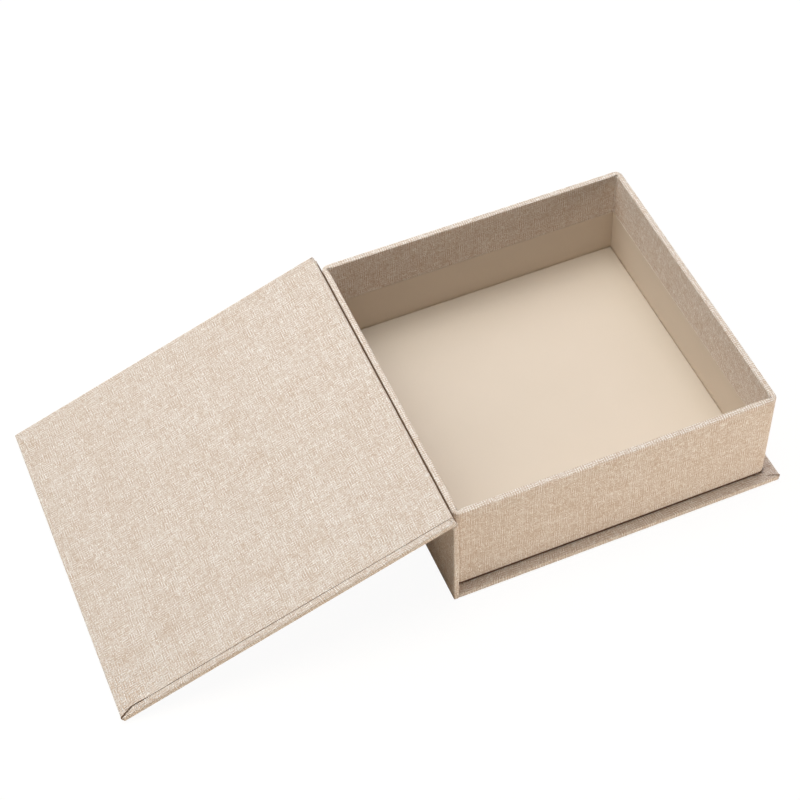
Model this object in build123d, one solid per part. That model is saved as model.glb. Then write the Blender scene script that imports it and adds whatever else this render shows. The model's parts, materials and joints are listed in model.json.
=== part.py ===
from build123d import *

import math
import os

# A hinged presentation box, made the way a bookbinder makes a case-bound box.
# A square tray of greyboard is covered in linen bookcloth and glued on a case of three boards:
# a base board, a spine board and a lid board. The case's cloth is also the hinge.
# Lengths are in millimetres. +Z is up and the box stands on z = 0. The origin is under the tray's centre.
# X runs from the spine to the fore-edge, and Y runs along the spine.
# The box is modelled open: the lid has swung right over and its fore-edge lies on the table.

# --- materials' thicknesses ---
CLOTH = 0.35  # linen bookcloth with its paper backing
PAPER = 0.25  # lining paper of the tray
TAPE = 0.15  # gummed paper tape that stays the tray's corners
WALL_BOARD = 3.0  # greyboard of the tray's walls
FLOOR_BOARD = 3.0  # greyboard of the tray's floor
BASE_BOARD = 3.0  # greyboard of the case's base
SPINE_BOARD = 2.5  # greyboard of the case's spine
LID_BOARD = 3.0  # greyboard of the lid

# --- tray, over its cloth ---
TRAY_WIDTH = 200.0  # along X
TRAY_LENGTH = 200.0  # along Y
TRAY_HEIGHT = 68.0  # from the base's top face to the rim
TRAY_CORNER = 4.5  # radius of the tray's upright corners
RIM_OUTER_ROUND = 0.6  # round of the rim's outer edge
RIM_INNER_ROUND = 0.4  # round of the rim's inner edge
RIM_TURN_IN = 32.0  # linen that shows inside the tray, below the rim
PAPER_OVERLAP = 6.0  # linen under the lining paper's upper edge
FLOOR_PAPER_EASE = 0.2  # the floor's paper is cut this much short of the walls' paper
UNDER_TURN_IN = 12.0  # linen turned under the tray's floor

# --- corner tapes ---
TAPE_LEG = 16.0  # reach of a tape along each wall
TAPE_MARGIN = 6.0  # bare board above and below a tape

# --- case ---
OVERHANG = 6.5  # base and lid beyond the tray, at the near, far and fore sides
CASE_TURN_IN = 15.0  # cloth turned in over the base board's and spine board's edges
CASE_EDGE_ROUND = 0.8  # round of the covered boards' edges
CASE_CORNER = 1.2  # radius of the base's and lid's corners in plan
LINING_INSET = 3.8  # bare turn-in round the lid's lining
LID_BACK_REACH = 1.0  # lid beyond the spine's outer face when shut

# --- fits ---
SHUT_GAP = 0.3  # between the shut lid and the rim
SWING_GAP = 0.3  # between the swinging lid and the spine's top
TABLE_GAP = 0.3  # under the open lid's fore-edge

# --- hinge ---
HINGE_OUT = 0.2  # hinge axis inside the spine's outer face
HINGE_RISE = 1.6  # hinge axis above the shut lid's inner face

# --- sizes that follow from the ones above ---
BASE_TOP = CLOTH + BASE_BOARD + CLOTH
RIM_Z = BASE_TOP + TRAY_HEIGHT
SPINE_THICK = CLOTH + SPINE_BOARD + CLOTH
LID_THICK = CLOTH + LID_BOARD + CLOTH

TRAY_LEFT = -TRAY_WIDTH / 2
TRAY_RIGHT = TRAY_WIDTH / 2
TRAY_NEAR = -TRAY_LENGTH / 2
TRAY_FAR = TRAY_LENGTH / 2

CASE_NEAR = TRAY_NEAR - OVERHANG
CASE_FAR = TRAY_FAR + OVERHANG
CASE_FORE = TRAY_RIGHT + OVERHANG
SPINE_OUT = TRAY_LEFT - SPINE_THICK
LID_BACK = SPINE_OUT - LID_BACK_REACH

SHUT_LID_UNDER = RIM_Z + SHUT_GAP
SHUT_LID_TOP = SHUT_LID_UNDER + LID_THICK
HINGE_X = SPINE_OUT + HINGE_OUT
HINGE_Z = SHUT_LID_UNDER + HINGE_RISE

LID_CORNER_SWING = math.hypot(LID_BACK - HINGE_X, max(HINGE_RISE, LID_THICK - HINGE_RISE))
SPINE_TOP = HINGE_Z - LID_CORNER_SWING - SWING_GAP


def open_angle():
    """Degrees that the lid turns back until its outer fore corner lies TABLE_GAP over the table."""
    reach = CASE_FORE - HINGE_X
    rise = SHUT_LID_TOP - HINGE_Z
    radius = math.hypot(reach, rise)
    lead = math.degrees(math.atan2(rise, reach))
    dip = math.degrees(math.asin((HINGE_Z - TABLE_GAP) / radius))
    return 180.0 + dip - lead


OPEN_ANGLE = open_angle()
HINGE = Axis((HINGE_X, 0, HINGE_Z), (0, 1, 0))

# --- levels and faces inside the tray ---
WALL_OUT = CLOTH
WALL_IN = CLOTH + WALL_BOARD
LINEN_IN = WALL_IN + CLOTH
PAPER_IN = LINEN_IN + PAPER
TRAY_BOARD_Z = BASE_TOP + CLOTH
TRAY_FLOOR_Z = TRAY_BOARD_Z + FLOOR_BOARD
LINING_Z = TRAY_FLOOR_Z + PAPER
BAND_Z = RIM_Z - RIM_TURN_IN


def block(x_span, y_span, z_span):
    """A box between two values along each axis."""
    size = [high - low for low, high in (x_span, y_span, z_span)]
    middle = [(high + low) / 2 for low, high in (x_span, y_span, z_span)]
    return Pos(*middle) * Box(*size)


def tray_block(inset, z_span):
    """A square-cornered box that lies inset inside the tray's outer faces."""
    x_span = (TRAY_LEFT + inset, TRAY_RIGHT - inset)
    y_span = (TRAY_NEAR + inset, TRAY_FAR - inset)
    return block(x_span, y_span, z_span)


def round_tray_block(inset, z_span):
    """The same box with the tray's rounded upright corners, which shrink with the inset."""
    low, high = z_span
    outline = RectangleRounded(TRAY_WIDTH - 2 * inset, TRAY_LENGTH - 2 * inset, TRAY_CORNER - inset)
    return Pos(0, 0, low) * extrude(outline, high - low)


def case_block(inset, x_span, z_span):
    """A box as long as the case, with its upright corners rounded, that lies inset inside its cloth."""
    x_low, x_high = x_span
    z_low, z_high = z_span
    width = x_high - x_low - 2 * inset
    length = CASE_FAR - CASE_NEAR - 2 * inset
    outline = RectangleRounded(width, length, CASE_CORNER - inset)
    centre = Pos((x_low + x_high) / 2, 0, z_low + inset)
    solid = centre * extrude(outline, z_high - z_low - 2 * inset)
    level_edges = solid.edges().filter_by(Plane.XY)
    return fillet(level_edges, CASE_EDGE_ROUND - inset)


# --- tray: boards ---


def wall_ring():
    """The four walls' greyboard before it is cut into walls: round outside, square inside."""
    z_span = (TRAY_BOARD_Z, RIM_Z - CLOTH)
    return round_tray_block(WALL_OUT, z_span) - tray_block(WALL_IN, z_span)


def tray_walls():
    """The near and far walls run the whole width, and the other two stand between them."""
    ring = wall_ring()
    z_span = (TRAY_BOARD_Z, RIM_Z)
    whole_x = (TRAY_LEFT, TRAY_RIGHT)
    between = (TRAY_NEAR + WALL_IN, TRAY_FAR - WALL_IN)
    cuts = {
        "tray_near_wall_board": block(whole_x, (TRAY_NEAR, TRAY_NEAR + WALL_IN), z_span),
        "tray_far_wall_board": block(whole_x, (TRAY_FAR - WALL_IN, TRAY_FAR), z_span),
        "tray_spine_wall_board": block((TRAY_LEFT, TRAY_LEFT + WALL_IN), between, z_span),
        "tray_fore_wall_board": block((TRAY_RIGHT - WALL_IN, TRAY_RIGHT), between, z_span),
    }
    return {name: ring & cut for name, cut in cuts.items()}


def tray_floor_board():
    """The floor lies between the walls, level with their lower edges."""
    return tray_block(WALL_IN, (TRAY_BOARD_Z, TRAY_FLOOR_Z))


# --- tray: corner tapes ---


def corner_tapes():
    """One strip of gummed paper round each upright corner, over the boards and under the cloth."""
    z_span = (TRAY_BOARD_Z + TAPE_MARGIN, RIM_Z - TAPE_MARGIN)
    skin = round_tray_block(WALL_OUT - TAPE, z_span) - round_tray_block(WALL_OUT, z_span)
    sides = {
        "near": (TRAY_NEAR, TRAY_NEAR + TAPE_LEG),
        "far": (TRAY_FAR - TAPE_LEG, TRAY_FAR),
        "spine": (TRAY_LEFT, TRAY_LEFT + TAPE_LEG),
        "fore": (TRAY_RIGHT - TAPE_LEG, TRAY_RIGHT),
    }
    tapes = {}
    for y_side in ("near", "far"):
        for x_side in ("spine", "fore"):
            corner = block(sides[x_side], sides[y_side], z_span)
            tapes[f"corner_tape_{y_side}_{x_side}"] = skin & corner
    return tapes


# --- tray: cloth ---


def tray_cloth_outside():
    """What the cloth's outer surface encloses: the tray with its rim's outer edge rounded."""
    solid = round_tray_block(0, (BASE_TOP, RIM_Z))
    rim = solid.edges().group_by(Axis.Z)[-1]
    return fillet(rim, RIM_OUTER_ROUND)


def tray_cover_cloth(tapes):
    """One strip round the walls, turned over the rim to the inside and turned under the floor."""
    cloth = tray_cloth_outside()
    cloth -= tray_block(LINEN_IN, (BAND_Z - PAPER_OVERLAP, RIM_Z))
    mouth = [
        edge
        for edge in cloth.edges().group_by(Axis.Z)[-1]
        if abs(edge.center().X) < TRAY_RIGHT - LINEN_IN + CLOTH / 2
        and abs(edge.center().Y) < TRAY_FAR - LINEN_IN + CLOTH / 2
    ]
    cloth = fillet(mouth, RIM_INNER_ROUND)
    cloth -= tray_block(WALL_IN, (TRAY_BOARD_Z, BAND_Z - PAPER_OVERLAP))
    cloth -= tray_block(UNDER_TURN_IN, (BASE_TOP, TRAY_BOARD_Z))
    cloth -= wall_ring()
    for tape in tapes.values():
        cloth -= tape
    return cloth


# --- tray: lining paper ---


def floor_lining_paper():
    """The sheet on the tray's floor. It is laid last and stops just short of the walls' paper."""
    return tray_block(PAPER_IN + FLOOR_PAPER_EASE, (TRAY_FLOOR_Z, LINING_Z))


def wall_lining_papers(cloth):
    """One band of paper on each wall, from the floor to a little over the linen's lower edge."""
    z_span = (TRAY_FLOOR_Z, BAND_Z)
    ring = tray_block(WALL_IN, z_span) - tray_block(PAPER_IN, z_span) - cloth
    between = (TRAY_NEAR + PAPER_IN, TRAY_FAR - PAPER_IN)
    whole_x = (TRAY_LEFT, TRAY_RIGHT)
    cuts = {
        "wall_lining_paper_near": block(whole_x, (TRAY_NEAR, TRAY_NEAR + PAPER_IN), z_span),
        "wall_lining_paper_far": block(whole_x, (TRAY_FAR - PAPER_IN, TRAY_FAR), z_span),
        "wall_lining_paper_spine": block((TRAY_LEFT, TRAY_LEFT + PAPER_IN), between, z_span),
        "wall_lining_paper_fore": block((TRAY_RIGHT - PAPER_IN, TRAY_RIGHT), between, z_span),
    }
    return {name: ring & cut for name, cut in cuts.items()}


# --- case: base ---


def base_board():
    """The board under the tray. It stops at the spine's inner face."""
    x_span = (TRAY_LEFT, CASE_FORE - CLOTH)
    y_span = (CASE_NEAR + CLOTH, CASE_FAR - CLOTH)
    return block(x_span, y_span, (CLOTH, CLOTH + BASE_BOARD))


def base_outside():
    """What the base's cloth encloses: rounded along its three free edges, square at the spine."""
    past_spine = 2 * CASE_CORNER
    solid = case_block(0, (TRAY_LEFT - past_spine, CASE_FORE), (0, BASE_TOP))
    return solid & block((TRAY_LEFT, CASE_FORE), (CASE_NEAR, CASE_FAR), (0, BASE_TOP))


def base_cover_cloth():
    """The case's cloth under the base board, round its edges and turned in over its top."""
    turn_in_window = block(
        (TRAY_LEFT, CASE_FORE - CASE_TURN_IN),
        (CASE_NEAR + CASE_TURN_IN, CASE_FAR - CASE_TURN_IN),
        (CLOTH + BASE_BOARD, BASE_TOP),
    )
    return base_outside() - base_board() - turn_in_window


# --- case: spine ---


def spine_board():
    """The board that stands against the tray's back wall, from the table's cloth to below the lid."""
    x_span = (SPINE_OUT + CLOTH, TRAY_LEFT - CLOTH)
    y_span = (CASE_NEAR + CLOTH, CASE_FAR - CLOTH)
    return block(x_span, y_span, (CLOTH, SPINE_TOP - CLOTH))


def spine_outside():
    """What the spine's cloth encloses, with its outer and end edges softened."""
    solid = block((SPINE_OUT, TRAY_LEFT), (CASE_NEAR, CASE_FAR), (0, SPINE_TOP))
    outer_face = solid.faces().sort_by(Axis.X)[0]
    return fillet(outer_face.edges(), CASE_EDGE_ROUND)


def spine_lining_strip():
    """The lid's lining, which runs on over the hinge and down between the spine and the tray."""
    x_span = (TRAY_LEFT - CLOTH, TRAY_LEFT)
    y_span = (CASE_NEAR + LINING_INSET, CASE_FAR - LINING_INSET)
    return block(x_span, y_span, (BASE_TOP, SPINE_TOP))


def spine_cover_cloth(lining):
    """The case's cloth on the spine's outer face, round its ends and turned in behind it."""
    return spine_outside() - spine_board() - lining - hinge_cloth()


def hinge_cloth():
    """The case's cloth where it lies slack on the spine's top edge, as far as the lid turns on it."""
    x_span = (SPINE_OUT + CLOTH, TRAY_LEFT - CLOTH)
    y_span = (CASE_NEAR + CLOTH, CASE_FAR - CLOTH)
    return block(x_span, y_span, (SPINE_TOP - CLOTH, SPINE_TOP))


# --- lid, first shut ---


def lid_outside():
    """What the lid's cloth encloses."""
    return case_block(0, (LID_BACK, CASE_FORE), (SHUT_LID_UNDER, SHUT_LID_TOP))


def lid_board():
    """The lid's greyboard, with its edges eased as the cloth bends round them."""
    return case_block(CLOTH, (LID_BACK, CASE_FORE), (SHUT_LID_UNDER, SHUT_LID_TOP))


def lid_lining_cloth():
    """The linen on the lid's inner face, which stops short of three edges and laps the hinge edge."""
    y_span = (CASE_NEAR + LINING_INSET, CASE_FAR - LINING_INSET)
    inner_face = block(
        (LID_BACK, CASE_FORE - LINING_INSET), y_span, (SHUT_LID_UNDER, SHUT_LID_UNDER + CLOTH)
    )
    hinge_edge = block(
        (LID_BACK, LID_BACK + CLOTH), y_span, (SHUT_LID_UNDER, SHUT_LID_TOP - CASE_EDGE_ROUND)
    )
    return (lid_outside() & (inner_face + hinge_edge)) - lid_board()


def lid_cover_cloth():
    """The case's cloth on the lid's outer face, round its edges and turned in round the lining."""
    return lid_outside() - lid_board() - lid_lining_cloth()


def opened(solid):
    """A piece of the shut lid, turned back about the hinge until the lid lies open."""
    return solid.rotate(HINGE, -OPEN_ANGLE)


# --- the whole box ---


def all_parts():
    """Every piece by its name, with the lid open."""
    tapes = corner_tapes()
    tray_cloth = tray_cover_cloth(tapes)
    spine_lining = spine_lining_strip()
    parts = {
        "base_board": base_board(),
        "base_cover_cloth": base_cover_cloth(),
        "spine_board": spine_board(),
        "spine_cover_cloth": spine_cover_cloth(spine_lining),
        "spine_lining_cloth": spine_lining,
        "hinge_cloth": hinge_cloth(),
        "tray_floor_board": tray_floor_board(),
        "tray_cover_cloth": tray_cloth,
        "floor_lining_paper": floor_lining_paper(),
        "lid_board": opened(lid_board()),
        "lid_cover_cloth": opened(lid_cover_cloth()),
        "lid_lining_cloth": opened(lid_lining_cloth()),
    }
    parts.update(tray_walls())
    parts.update(tapes)
    parts.update(wall_lining_papers(tray_cloth))
    return parts


os.makedirs("parts", exist_ok=True)
for name, solid in all_parts().items():
    export_step(solid, f"parts/{name}.step")

print(f"hinge axis at x {HINGE_X:.2f}, z {HINGE_Z:.2f}, lid opens {OPEN_ANGLE:.3f} degrees")
print(f"tray inside, over its lining: {TRAY_WIDTH - 2 * PAPER_IN:.1f} x {TRAY_LENGTH - 2 * PAPER_IN:.1f}")
print(f"tray floor at z {LINING_Z:.2f}, rim at z {RIM_Z:.2f}, spine's top at z {SPINE_TOP:.2f}")
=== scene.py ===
import json
import math

import bmesh
import bpy
import numpy as np
from mathutils import Matrix, Vector


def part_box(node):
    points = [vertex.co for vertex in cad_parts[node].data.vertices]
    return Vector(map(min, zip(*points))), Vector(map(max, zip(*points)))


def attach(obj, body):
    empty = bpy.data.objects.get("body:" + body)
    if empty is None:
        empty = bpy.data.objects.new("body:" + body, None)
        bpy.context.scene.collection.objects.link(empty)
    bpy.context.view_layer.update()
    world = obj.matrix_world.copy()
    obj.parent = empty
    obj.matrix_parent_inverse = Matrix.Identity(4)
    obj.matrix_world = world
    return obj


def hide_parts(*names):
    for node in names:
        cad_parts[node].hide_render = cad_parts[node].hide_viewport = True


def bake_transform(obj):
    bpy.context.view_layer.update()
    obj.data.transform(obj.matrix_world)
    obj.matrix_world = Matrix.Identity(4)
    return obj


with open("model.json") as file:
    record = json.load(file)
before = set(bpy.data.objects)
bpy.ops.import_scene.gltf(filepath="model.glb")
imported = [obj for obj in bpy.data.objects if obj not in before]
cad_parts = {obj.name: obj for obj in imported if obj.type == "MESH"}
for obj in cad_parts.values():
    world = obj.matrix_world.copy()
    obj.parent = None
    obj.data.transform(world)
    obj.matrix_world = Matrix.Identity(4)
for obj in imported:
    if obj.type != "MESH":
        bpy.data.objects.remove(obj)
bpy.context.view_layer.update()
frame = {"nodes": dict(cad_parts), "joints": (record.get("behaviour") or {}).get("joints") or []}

# A book-style gift box: a linen-covered tray glued on a case of three boards, with its lid swung right over.
# Lengths are in metres. The origin is on the table under the tray's middle, +X runs from the spine to the
# fore-edge, +Y runs along the spine and +Z is up.
MM = 0.001


# --- Boards: greyboard, cut with a knife and left raw. The tray's walls and floor and the case's base,
# spine and lid are made of it. The cloth covers every face, so these show only when the box is taken apart.
def linear(red, green, blue):
    """A colour written as 0 to 255 display values, as the linear colour that a shader takes."""
    shares = np.array([red, green, blue]) / 255
    values = np.where(shares <= 0.04045, shares / 12.92, ((shares + 0.055) / 1.055) ** 2.4)
    return (*values, 1.0)


def new_material(name, roughness):
    """A material with a Principled shader, and the tree and shader to build on."""
    material = bpy.data.materials.new(name)
    material.use_nodes = True
    shader = material.node_tree.nodes["Principled BSDF"]
    shader.inputs["Roughness"].default_value = roughness
    return material, material.node_tree, shader


def add_node(tree, kind, settings, inputs):
    """Adds one node. Each input is a plain value or another node's output, which is linked."""
    node = tree.nodes.new(kind)
    for name, value in settings.items():
        setattr(node, name, value)
    for key, value in inputs.items():
        if isinstance(value, bpy.types.NodeSocket):
            tree.links.new(value, node.inputs[key])
        else:
            node.inputs[key].default_value = value
    return node


def calc(tree, operation, *values):
    """One Math node's result."""
    return add_node(tree, "ShaderNodeMath", {"operation": operation}, dict(enumerate(values))).outputs[0]


def smooth_step(tree, value, low, high):
    """0 below low, 1 above high and a smooth rise between them."""
    inputs = {"Value": value, "From Min": low, "From Max": high}
    return add_node(tree, "ShaderNodeMapRange", {"interpolation_type": "SMOOTHSTEP"}, inputs).outputs[0]


def mix_colours(tree, share, low, high):
    """low where the share is 0 and high where it is 1."""
    return add_node(tree, "ShaderNodeMix", {"data_type": "RGBA"}, {0: share, 6: low, 7: high}).outputs[2]


def colour_between(tree, shader, share, low, high):
    """Colours the shader low where the share is 0 and high where it is 1."""
    tree.links.new(mix_colours(tree, share, low, high), shader.inputs["Base Color"])


def object_place(tree):
    """The object's own coordinates."""
    return add_node(tree, "ShaderNodeTexCoord", {}, {}).outputs["Object"]


def noise(tree, place, size, detail, dimensions="3D", roughness=0.5):
    """A noise whose features are about size across: its value from 0 to 1, and its colour."""
    inputs = {"Vector": place, "Scale": 1 / size, "Detail": detail, "Roughness": roughness}
    return add_node(tree, "ShaderNodeTexNoise", {"noise_dimensions": dimensions}, inputs).outputs


def add_bump(tree, shader, height, depth):
    """Makes a height from 0 to 1 stand depth metres proud."""
    bump = add_node(tree, "ShaderNodeBump", {}, {"Height": height, "Distance": depth, "Strength": 1.0})
    tree.links.new(bump.outputs[0], shader.inputs["Normal"])


def give_material(material, chosen):
    """Puts one material on the frame's own nodes whose names are chosen."""
    for name, node in frame["nodes"].items():
        if chosen(name):
            node.data.materials.clear()
            node.data.materials.append(material)


GREYBOARD_LIGHT = linear(158, 150, 138)
GREYBOARD_DARK = linear(112, 104, 94)
BOARD_FLECK = 1.5 * MM
BOARD_RELIEF = 0.06 * MM

greyboard, tree, shader = new_material("greyboard", 0.9)
pulp = noise(tree, object_place(tree), BOARD_FLECK, 6.0)[0]
colour_between(tree, shader, pulp, GREYBOARD_DARK, GREYBOARD_LIGHT)
add_bump(tree, shader, pulp, BOARD_RELIEF)
give_material(greyboard, lambda name: name.endswith("board"))


# --- Corner tapes: brown gummed paper, wetted and rubbed down round each upright corner of the tray to hold
# the boards while the glue sets. The linen is pasted over them.
KRAFT_LIGHT = linear(190, 152, 108)
KRAFT_DARK = linear(160, 122, 82)
KRAFT_FIBRE = 2.5 * MM
KRAFT_STRETCH = (1.0, 1.0, 0.12)
KRAFT_RELIEF = 0.02 * MM

kraft, tree, shader = new_material("gummed_tape", 0.55)
inputs = {"Vector": object_place(tree), "Scale": KRAFT_STRETCH}
stretched = add_node(tree, "ShaderNodeMapping", {}, inputs).outputs[0]
fibres = noise(tree, stretched, KRAFT_FIBRE, 5.0)[0]
colour_between(tree, shader, fibres, KRAFT_DARK, KRAFT_LIGHT)
add_bump(tree, shader, fibres, KRAFT_RELIEF)
give_material(kraft, lambda name: name.startswith("corner_tape"))


# --- Tray's linen: one strip of bookcloth with a plain weave of light and tan threads. It is pasted round the
# four walls, turned over the rim and 32 mm down the inside, and turned in under the floor.
CLOTH = 0.3 * MM
WARP_PITCH = 0.72 * MM
WEFT_PITCH = 0.68 * MM
SLUB_LENGTH = 3.5 * MM
SLUB_RISE = (0.66, 0.78)
SLUB_TONE = 0.4
SLUB_WIDTH = 0.5
OWN_TONE = 0.3
MEAN_TONE = 0.35
LANE_STEP = 5.17
THREAD_WANDER = 30 * MM
WANDER_THREADS = 3.0
THREAD_CROWN = 0.62
THREAD_SIDES = (0.15, 0.85)
STRIPE_PATCH = 6 * MM
CASE_STRIPE = 1.8
CASE_CHANGE = 2.05
TRAY_STRIPE = 1.3
TRAY_CHANGE = 2.35
# Alternate warp threads are lightened by COMB_TONE where the streak-and-highlight mark is set: streaks on the
# tray's walls, and a painted highlight on the thread crests over the rim.
COMB_TONE = 0.55
CROSSING_TONE = 0.3
WARP_LABEL = 0.5
WEFT_LABEL = 700.5
MOTTLE = 14 * MM
MOTTLE_TONE = 0.4
ECRU = linear(255, 250, 243)
TAN = linear(214, 191, 170)
BETWEEN_THREADS = linear(158, 130, 106)
# Painted shade: the dark brown that the cloth is painted in its joints and gaps and beside cut edges, in
# place of the shade that falls there.
PAINTED_SHADE_BROWN = linear(96, 68, 46)
CUT_THREADS = linear(140, 114, 90)
THREAD_RELIEF = 0.16 * MM
LINEN_SPECULAR = 0.25


def alternating(tree, number):
    """-1 for an even number and 1 for an odd one."""
    halves = calc(tree, "FRACT", calc(tree, "MULTIPLY", number, 0.5))
    return calc(tree, "MULTIPLY_ADD", halves, 4.0, -1.0)


def random_value(tree, dimensions, inputs):
    """A random number from 0 to 1 that depends on the inputs alone."""
    return add_node(tree, "ShaderNodeTexWhiteNoise", {"noise_dimensions": dimensions}, inputs).outputs[0]


def thread_set(tree, across, along, pitch, stripe, change, label):
    """One set of threads: each one's number and the place across it from -0.5 to 0.5, with its own tone,
    which changes along it, and its slubs, where it is thick and light. Every other thread is lighter by the
    stripe. The label sets the warp's random numbers apart from the weft's."""
    number = calc(tree, "FLOOR", across)
    centre = calc(tree, "SUBTRACT", calc(tree, "FRACT", across), 0.5)
    own = random_value(tree, "1D", {"W": calc(tree, "ADD", number, label)})
    lane = calc(tree, "MULTIPLY_ADD", number, LANE_STEP, label)
    reach = calc(tree, "MULTIPLY", along, pitch / SLUB_LENGTH)
    where = add_node(tree, "ShaderNodeCombineXYZ", {}, {0: lane, 1: reach}).outputs[0]
    wave = noise(tree, where, 1.0, 2.0, "2D", 0.6)[0]
    slub = smooth_step(tree, wave, *SLUB_RISE)
    changing = calc(tree, "MULTIPLY_ADD", wave, change, MEAN_TONE - change / 2)
    tone = calc(tree, "MULTIPLY_ADD", own, OWN_TONE, changing)
    tone = calc(tree, "MULTIPLY_ADD", slub, SLUB_TONE, tone)
    tone = calc(tree, "MULTIPLY_ADD", alternating(tree, number), stripe, tone)
    return number, centre, tone, slub


def thread_height(tree, over, beside, centre, slub):
    """A thread's surface: it rides over one crossing thread and under the next, and is round across."""
    swing = calc(tree, "MULTIPLY", over, calc(tree, "COSINE", calc(tree, "MULTIPLY", beside, math.pi)))
    width = calc(tree, "MULTIPLY_ADD", slub, SLUB_WIDTH, 1.0)
    share = calc(tree, "DIVIDE", calc(tree, "MULTIPLY", centre, 2.0), width)
    crown = calc(tree, "SUBTRACT", 1.0, calc(tree, "MULTIPLY", share, share))
    return calc(tree, "MULTIPLY_ADD", crown, THREAD_CROWN, calc(tree, "MULTIPLY", swing, 1 - THREAD_CROWN))


def linen_weave(tree, stripe, change):
    """The weave's colour and its height from 0 to 1, from the flat cloth's own coordinates in metres. Every
    other thread is lighter by the stripe in patches, which shows as short streaks, and all along the warp
    where the cloth's streak-and-highlight mark is set: streaks on the tray's walls and, over its rim, a
    painted highlight on the thread crests. Each thread's tone changes along it. Where the cloth's
    painted-shade mark is set, the cloth is painted dark brown as shade, in the joints and gaps and beside cut
    edges."""
    streak_and_highlight = add_node(tree, "ShaderNodeAttribute", {"attribute_name": "streak_and_highlight"}, {}).outputs[2]
    painted_shade = add_node(tree, "ShaderNodeAttribute", {"attribute_name": "painted_shade"}, {}).outputs[2]
    flat = add_node(tree, "ShaderNodeUVMap", {"uv_map": "cloth"}, {}).outputs[0]
    drift = noise(tree, flat, THREAD_WANDER, 3.0, "2D")[1]
    drift = add_node(tree, "ShaderNodeSeparateColor", {}, {0: drift}).outputs
    spread = add_node(tree, "ShaderNodeSeparateXYZ", {}, {0: flat}).outputs
    wander = [calc(tree, "MULTIPLY", drift[axis], WANDER_THREADS) for axis in range(2)]
    warp_at = calc(tree, "MULTIPLY_ADD", spread[0], 1 / WARP_PITCH, wander[0])
    weft_at = calc(tree, "MULTIPLY_ADD", spread[1], 1 / WEFT_PITCH, wander[1])
    patch = noise(tree, flat, STRIPE_PATCH, 1.0, "2D")[1]
    patch = add_node(tree, "ShaderNodeSeparateColor", {}, {0: patch}).outputs
    patchy = calc(tree, "MULTIPLY_ADD", patch[0], stripe, -stripe / 2)
    warp_stripe = calc(tree, "MULTIPLY_ADD", streak_and_highlight, COMB_TONE, patchy)
    weft_stripe = calc(tree, "MULTIPLY_ADD", patch[1], stripe, -stripe / 2)
    warp_at_weft = (tree, warp_at, weft_at, WEFT_PITCH, warp_stripe, change, WARP_LABEL)
    weft_at_warp = (tree, weft_at, warp_at, WARP_PITCH, weft_stripe, change, WEFT_LABEL)
    warp, warp_centre, warp_tone, warp_slub = thread_set(*warp_at_weft)
    weft, weft_centre, weft_tone, weft_slub = thread_set(*weft_at_warp)
    under = alternating(tree, calc(tree, "ADD", warp, weft))
    over = calc(tree, "MULTIPLY", under, -1.0)
    warp_height = thread_height(tree, over, weft_centre, warp_centre, warp_slub)
    weft_height = thread_height(tree, under, warp_centre, weft_centre, weft_slub)
    warp_on_top = calc(tree, "GREATER_THAN", warp_height, weft_height)
    tone = add_node(tree, "ShaderNodeMix", {}, {0: warp_on_top, 2: weft_tone, 3: warp_tone}).outputs[0]
    height = calc(tree, "MAXIMUM", warp_height, weft_height)
    mottle = noise(tree, flat, MOTTLE, 4.0, "2D", 0.6)[0]
    tone = calc(tree, "ADD", tone, calc(tree, "MULTIPLY_ADD", mottle, MOTTLE_TONE, -MOTTLE_TONE / 2))
    crossing = add_node(tree, "ShaderNodeCombineXYZ", {}, {0: warp, 1: weft}).outputs[0]
    speck = random_value(tree, "2D", {"Vector": crossing})
    tone = calc(tree, "ADD", tone, calc(tree, "MULTIPLY_ADD", speck, CROSSING_TONE, -CROSSING_TONE / 2))
    tone = add_node(tree, "ShaderNodeClamp", {}, {0: tone}).outputs[0]
    yarn = mix_colours(tree, tone, TAN, ECRU)
    colour = mix_colours(tree, smooth_step(tree, height, *THREAD_SIDES), BETWEEN_THREADS, yarn)
    return mix_colours(tree, painted_shade, colour, PAINTED_SHADE_BROWN), height


def linen_cloth(name, stripe, change):
    """Bookcloth with a matt weave."""
    cloth, tree, shader = new_material(name, 0.88)
    shader.inputs["Specular IOR Level"].default_value = LINEN_SPECULAR
    weave_colour, weave_height = linen_weave(tree, stripe, change)
    tree.links.new(weave_colour, shader.inputs["Base Color"])
    add_bump(tree, shader, weave_height, THREAD_RELIEF)
    return cloth


linen = linen_cloth("linen_bookcloth", CASE_STRIPE, CASE_CHANGE)
strip_linen = linen_cloth("linen_bookcloth_strip", TRAY_STRIPE, TRAY_CHANGE)

# The cut edges are painted dark: their colour runs between the cut threads' darkened tan and the painted
# shade brown, and stands in for the shade along each edge.
cut_edge, tree, shader = new_material("linen_cut_edge", 0.95)
frays = noise(tree, object_place(tree), WARP_PITCH, 2.0)[0]
colour_between(tree, shader, frays, PAINTED_SHADE_BROWN, CUT_THREADS)


def side_columns(straight, arc):
    """The columns round a rectangle, from its low corner round to it again: for each one the side, its share
    of the way along it, its share of the turn at the side's end, and both of its corners."""
    corners = np.array([(-1, -1), (1, -1), (1, 1), (-1, 1)])
    side, share, turn = [], [], []
    for number in range(4):
        way = np.linspace(0, 1, straight[number % 2] + 1)
        bend = np.linspace(0, 1, arc + 1)[1:-1]
        side += [number] * (len(way) + len(bend))
        share += [*way, *np.ones(len(bend))]
        turn += [*np.zeros(len(way)), *bend]
    side = np.array(side + [4])
    share = np.array(share + [0])
    turn = np.array(turn + [0])
    return side, share, turn, corners[side % 4].T, corners[(side + 1) % 4].T


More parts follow.
